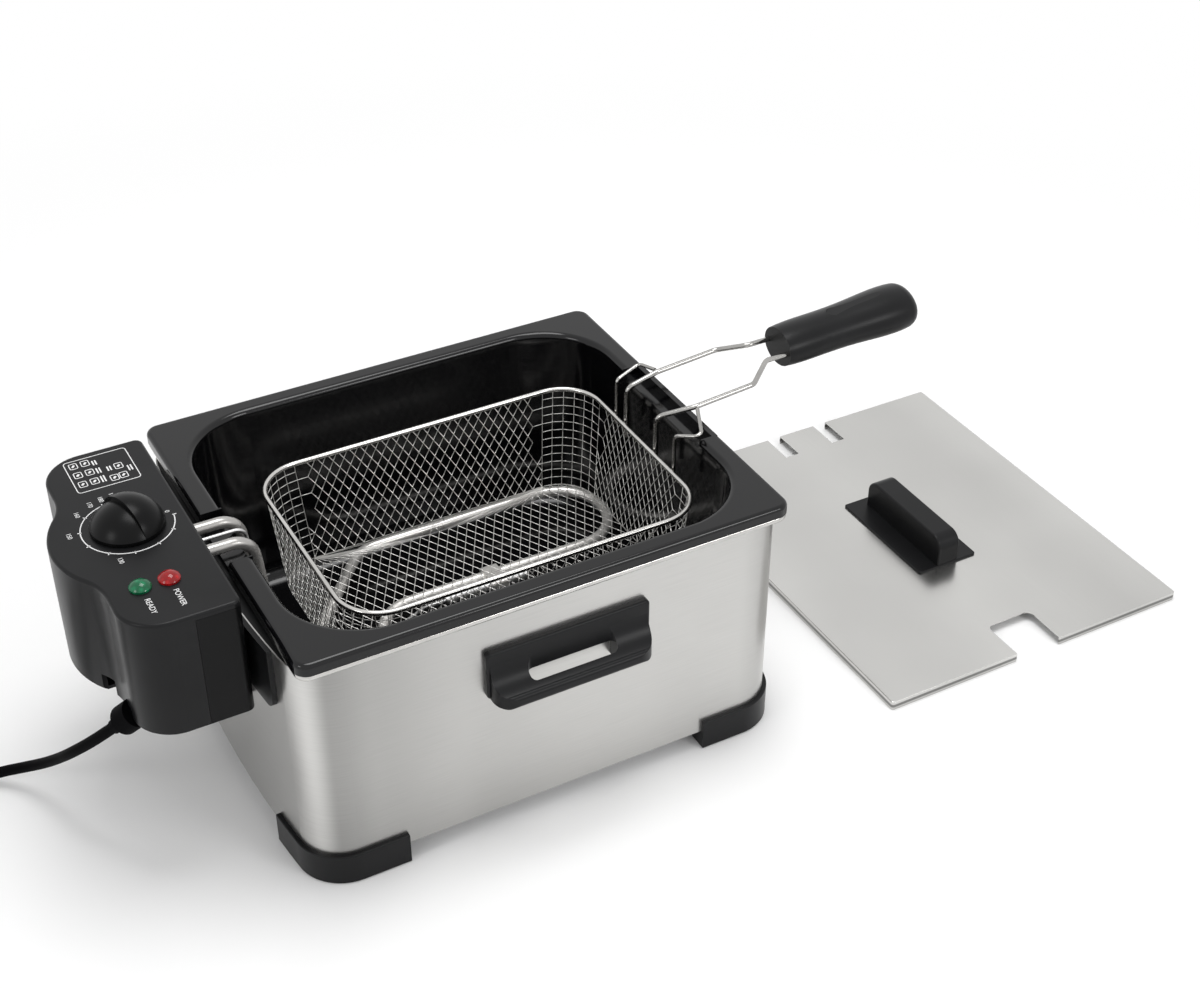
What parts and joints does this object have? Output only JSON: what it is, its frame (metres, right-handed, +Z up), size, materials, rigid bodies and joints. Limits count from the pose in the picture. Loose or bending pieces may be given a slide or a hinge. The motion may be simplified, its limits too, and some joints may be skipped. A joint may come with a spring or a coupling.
{
  "type": "electric deep fryer",
  "caption": "Electric deep fryer with steel housing, enamelled pot, lift-out control unit with tubular element, wire basket with long grip, and flat steel lid lying beside it.",
  "frame": {"origin": "on the table under the middle of the pot", "axes": "+X from the control box to the basket's grip, +Y to the back, +Z up"},
  "size_m": [1.0098, 0.3249, 0.2218],
  "materials": {
    "steel": "brushed stainless sheet",
    "plain_steel": "plain zinc-coated steel",
    "enamel": "dark speckled glossy enamel",
    "black_plastic": "black moulded plastic",
    "gloss_black": "black moulded plastic with a soft gloss",
    "rubber": "black rubber",
    "green_lens": "green lens",
    "red_lens": "red lens",
    "element_steel": "bright steel tube",
    "wire": "bright plated wire",
    "white_ceramic": "glazed white",
    "brass": "nickel-plated brass"
  },
  "bodies": {
    "housing": {"housing_wall": "steel", "top_band": "steel", "seat_collar": "black_plastic", "base_plate": "plain_steel", "foot_front_left": "black_plastic", "foot_front_right": "black_plastic", "foot_back_left": "black_plastic", "foot_back_right": "black_plastic", "foot_pads": "rubber", "carry_handle_front": "black_plastic", "carry_handle_back": "black_plastic", "carry_handle_screws": "plain_steel", "guide_bracket": "black_plastic"},
    "pot": {"pot": "enamel"},
    "control_unit": {"box_shell": "gloss_black", "box_back": "gloss_black", "box_screws": "plain_steel", "thermostat": "plain_steel", "lamp_ready": "green_lens", "lamp_power": "red_lens", "element": "element_steel", "element_terminals": "plain_steel", "mounting_plate": "plain_steel", "capillary": "plain_steel", "sensor_clip": "element_steel", "thermal_cutout": "plain_steel", "terminal_block": "white_ceramic", "inner_leads": "rubber", "strain_relief": "rubber", "cord": "rubber", "cord_coil": "rubber", "cord_tie": "rubber", "plug": "rubber", "plug_pins": "brass"},
    "knob": {"knob": "gloss_black", "knob_spindle": "plain_steel"},
    "basket": {"basket_rim": "wire", "basket_floor_net": "wire", "basket_long_nets": "wire", "basket_short_nets": "wire", "basket_corner_nets": "wire", "basket_handle_wires": "wire", "basket_hooks": "wire", "basket_grip": "black_plastic"},
    "lid": {"lid_sheet": "steel", "lid_handle": "black_plastic", "lid_screws": "plain_steel"}
  },
  "joints": [
    {"name": "pot_lift", "type": "slide", "parent": "housing", "child": "pot", "axis": [0, 0, 1], "range_m": [0, 0.16]},
    {"name": "control_lift", "type": "slide", "parent": "pot", "child": "control_unit", "axis": [0, 0, 1], "range_m": [0, 0.16]},
    {"name": "knob_turn", "type": "hinge", "parent": "control_unit", "child": "knob", "pos_m": [-0.2123, 0.01, 0.2028], "axis": [0, 0, 1], "range_deg": [-130, 130]},
    {"name": "basket_lift", "type": "slide", "parent": "control_unit", "child": "basket", "axis": [0, 0, 1], "range_m": [0, 0.12]},
    {"name": "lid_lift", "type": "slide", "parent": "housing", "child": "lid", "axis": [0, 0, 1], "range_m": [0, 0.12]}
  ]
}
